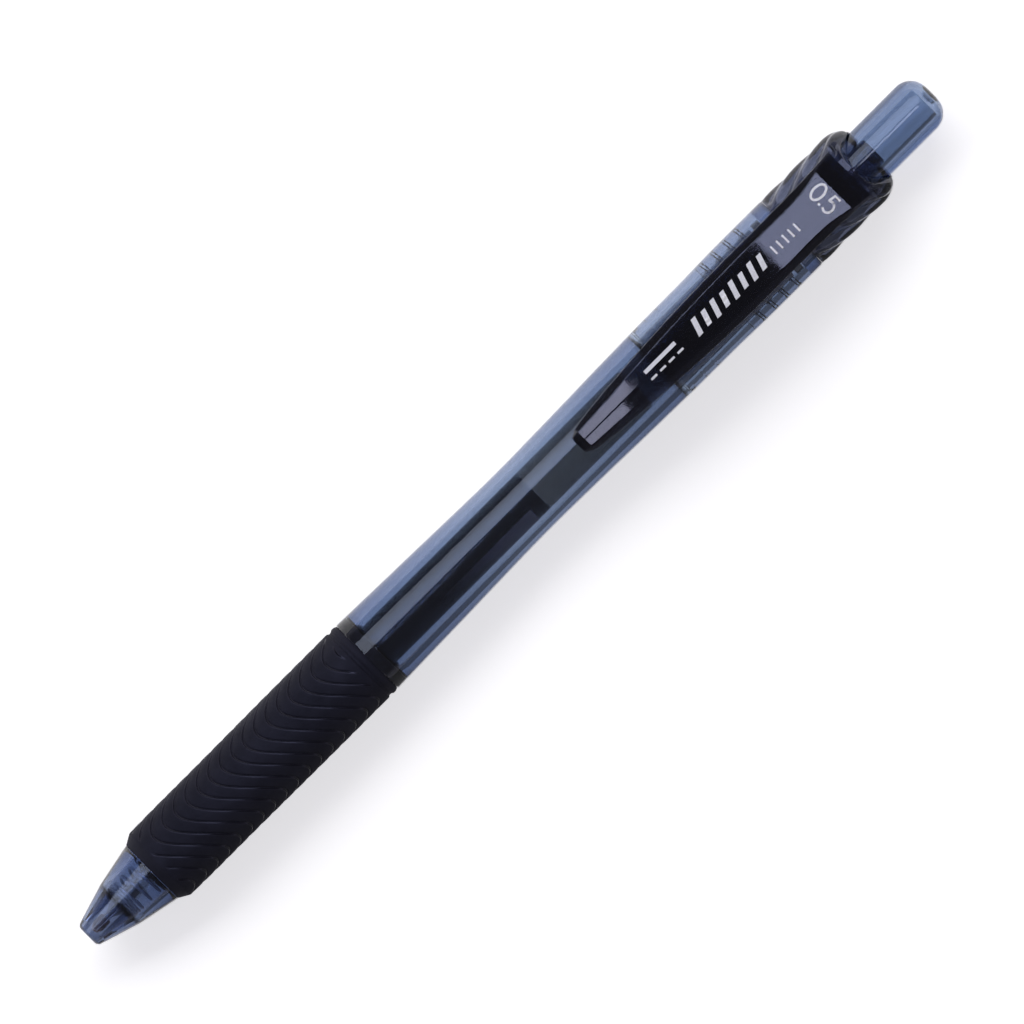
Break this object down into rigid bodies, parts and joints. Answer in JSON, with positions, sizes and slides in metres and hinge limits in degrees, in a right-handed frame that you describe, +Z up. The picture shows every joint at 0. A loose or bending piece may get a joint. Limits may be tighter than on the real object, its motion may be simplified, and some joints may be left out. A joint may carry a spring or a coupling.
{
  "type": "retractable gel pen",
  "caption": "Retractable gel pen with clear smoky barrels, ribbed rubber grip, spring pocket clip, push button and a sprung refill that slides out of the nose.",
  "frame": {"origin": "under the middle of the pen's length and width, on the plane that the pen lies on", "axes": "+X from the writing end to the push button, +Z up through the clip, +Y across the pen"},
  "size_m": [0.145, 0.0108, 0.0135],
  "materials": {
    "smoke_plastic": "clear smoky blue, polished",
    "dark_smoke_plastic": "deep smoke, nearly opaque, polished",
    "grip_rubber": "matte black, herringbone grooves",
    "black_plastic": "satin",
    "natural_plastic": "natural, cloudy clear",
    "spring_steel": "drawn bright wire",
    "nickel_silver": "turned",
    "amber_seal": "soft, cloudy amber",
    "black_ink": "wet black",
    "clear_grease": "cloudy grey gel",
    "clip_print": "pad-printed silver-white marks on the clip"
  },
  "bodies": {
    "lower_barrel": {"front_barrel": "smoke_plastic", "grip_sleeve": "grip_rubber", "return_spring": "spring_steel"},
    "refill": {"reservoir_tube": "natural_plastic", "point_holder": "natural_plastic", "writing_point": "nickel_silver", "writing_ball": "spring_steel", "ball_spring": "spring_steel", "tip_seal": "amber_seal", "ink_column": "black_ink", "ink_follower": "clear_grease", "tail_plug": "black_plastic"},
    "valve_ball": {"valve_ball": "spring_steel"},
    "upper_barrel": {"rear_barrel": "smoke_plastic", "crown": "dark_smoke_plastic", "cam_sleeve": "black_plastic"},
    "clip": {"clip": "dark_smoke_plastic"},
    "button": {"push_button": "smoke_plastic", "plunger": "smoke_plastic"},
    "rotor": {"rotor": "black_plastic"}
  },
  "joints": [
    {"name": "upper_barrel_pull_off", "type": "slide", "parent": "lower_barrel", "child": "upper_barrel", "axis": [1, 0, 0], "range_m": [0, 0.024]},
    {"name": "clip_flex", "type": "hinge", "parent": "upper_barrel", "child": "clip", "pos_m": [0.0559, 0, 0.0106], "axis": [0, 1, 0], "range_deg": [0, 4.5], "stiffness_Nm_per_rad": 1, "springref_deg": -1.15},
    {"name": "button_press", "type": "slide", "parent": "upper_barrel", "child": "button", "axis": [-1, 0, 0], "range_m": [0, 0.0062], "stiffness_N_per_m": 300, "springref_m": -0.008},
    {"name": "rotor_turn", "type": "hinge", "parent": "button", "child": "rotor", "pos_m": [0.04, 0, 0.0054], "axis": [1, 0, 0], "range_deg": [-4, 4]},
    {"name": "refill_travel", "type": "slide", "parent": "lower_barrel", "child": "refill", "axis": [-1, 0, 0], "range_m": [0, 0.0062], "deforming": ["return_spring"]},
    {"name": "valve_ball_travel", "type": "slide", "parent": "refill", "child": "valve_ball", "axis": [1, 0, 0], "range_m": [-0.0007, 0.0009]}
  ],
  "couplings": [
    {"joint": "refill_travel", "follows": "button_press", "ratio": 1}
  ]
}
